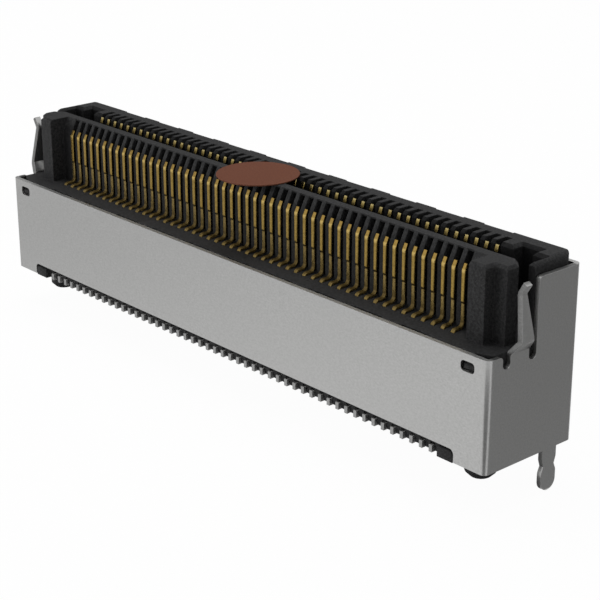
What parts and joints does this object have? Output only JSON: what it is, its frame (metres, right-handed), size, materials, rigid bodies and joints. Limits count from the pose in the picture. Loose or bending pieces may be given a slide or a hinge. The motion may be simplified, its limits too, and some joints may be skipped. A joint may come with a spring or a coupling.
{
  "type": "board to board connector",
  "caption": "Shielded self-mating board to board connector: black moulded comb block with gold contacts, folded metal shield with end spring tongues and board tails, film pick-up disc.",
  "frame": {"origin": "on the circuit board's surface, under the middle of the shield's outline", "axes": "+X along the contact rows, +Z away from the board towards the mating part, -Y the side with the exposed blades"},
  "size_m": [0.0306, 0.0048, 0.009],
  "materials": {
    "housing": "fine moulded, black",
    "shield": "satin rolled sheet",
    "contact": "gold plated, tin on the tails",
    "film": "satin brown film"
  },
  "bodies": {
    "root": {"housing": "housing", "shield": "shield", "pickup_disc": "film", "front_contacts_01": "contact", "front_contacts_02": "contact", "front_contacts_03": "contact", "front_contacts_04": "contact", "front_contacts_05": "contact", "front_contacts_06": "contact", "front_contacts_07": "contact", "front_contacts_08": "contact", "front_contacts_09": "contact", "front_contacts_10": "contact", "rear_contacts_01": "contact", "rear_contacts_02": "contact", "rear_contacts_03": "contact", "rear_contacts_04": "contact", "rear_contacts_05": "contact", "rear_contacts_06": "contact", "rear_contacts_07": "contact", "rear_contacts_08": "contact", "rear_contacts_09": "contact", "rear_contacts_10": "contact"}
  },
  "joints": []
}
